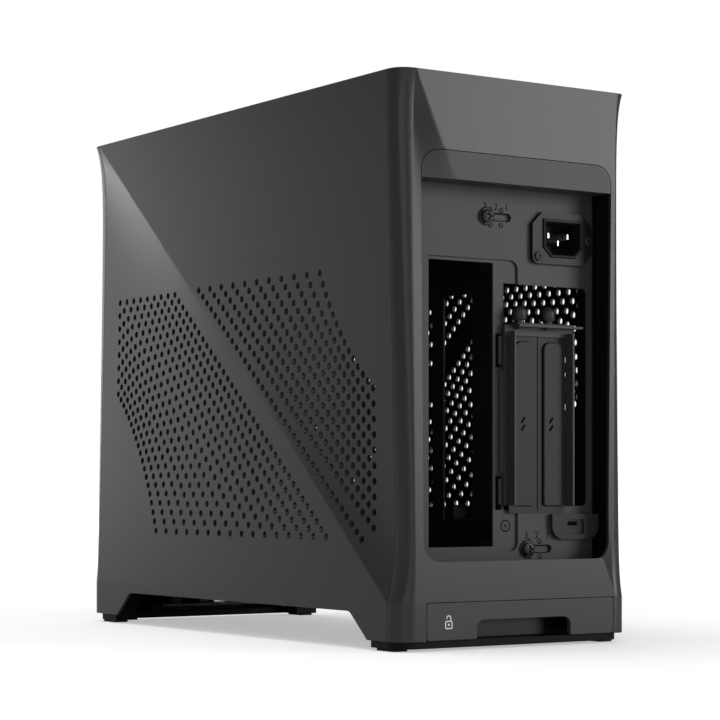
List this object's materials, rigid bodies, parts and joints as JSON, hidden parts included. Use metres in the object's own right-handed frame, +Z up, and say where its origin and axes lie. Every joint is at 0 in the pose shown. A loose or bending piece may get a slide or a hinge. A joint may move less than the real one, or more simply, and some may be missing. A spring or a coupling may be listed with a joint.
{
  "type": "computer case",
  "caption": "Upright small tower computer case: ridged, perforated lift-off shell over a steel chassis with a sliding board tray, slot covers, mains inlet and bottom filter drawer.",
  "frame": {"origin": "on the floor under the centre of the case's plan", "axes": "+Z up, +Y to the rear with the port opening, +X to the perforated side with the board chamber"},
  "size_m": [0.16, 0.355, 0.314],
  "materials": {
    "shell_coat": "satin charcoal coat on aluminium sheet",
    "chassis_coat": "satin dark grey coat on steel sheet",
    "base_plastic": "matte black moulding",
    "black_plastic": "black moulding, slightly glossy",
    "rubber": "matte rubber",
    "screw_steel": "blackened steel",
    "bright_metal": "plated contacts and port shells",
    "board_laminate": "dark circuit board",
    "filter_mesh": "fine dust mesh",
    "button_metal": "satin charcoal"
  },
  "bodies": {
    "chassis": {"base_frame": "base_plastic", "rubber_feet": "rubber", "floor_plate": "chassis_coat", "rear_frame": "chassis_coat", "front_frame": "chassis_coat", "top_bracket": "chassis_coat", "psu_bracket": "chassis_coat", "lock_tab": "chassis_coat", "inlet_housing": "black_plastic", "inlet_pins": "bright_metal", "inlet_screws": "screw_steel", "io_board": "board_laminate", "usb_a_ports": "bright_metal", "usb_c_port": "bright_metal", "audio_jack": "black_plastic", "power_switch": "black_plastic"},
    "shell": {"right_side_panel": "shell_coat", "left_side_panel": "shell_coat", "rear_panel": "shell_coat", "front_panel": "shell_coat", "rear_lip": "shell_coat", "top_panel": "shell_coat"},
    "spine": {"spine_tray": "chassis_coat", "board_standoffs": "screw_steel", "adjusting_screws": "screw_steel", "adjusting_washers": "screw_steel", "riser_bracket": "chassis_coat", "riser_slot": "black_plastic", "slot_cage": "chassis_coat", "slot_cover_left": "chassis_coat", "slot_cover_right": "chassis_coat", "slot_thumbscrews": "screw_steel"},
    "drawer": {"drawer_face": "shell_coat", "filter_frame": "base_plastic", "filter_mesh": "filter_mesh"},
    "button": {"power_button": "button_metal"}
  },
  "joints": [
    {"name": "shell_lift", "type": "slide", "parent": "chassis", "child": "shell", "axis": [0, 0, 1], "range_m": [0, 0.3]},
    {"name": "spine_shift", "type": "slide", "parent": "chassis", "child": "spine", "axis": [-1, 0, 0], "range_m": [0, 0.0152]},
    {"name": "drawer_slide", "type": "slide", "parent": "chassis", "child": "drawer", "axis": [0, 1, 0], "range_m": [0, 0.3]},
    {"name": "button_press", "type": "slide", "parent": "shell", "child": "button", "axis": [0, 1, 0], "range_m": [0, 0.0015], "stiffness_N_per_m": 600}
  ]
}
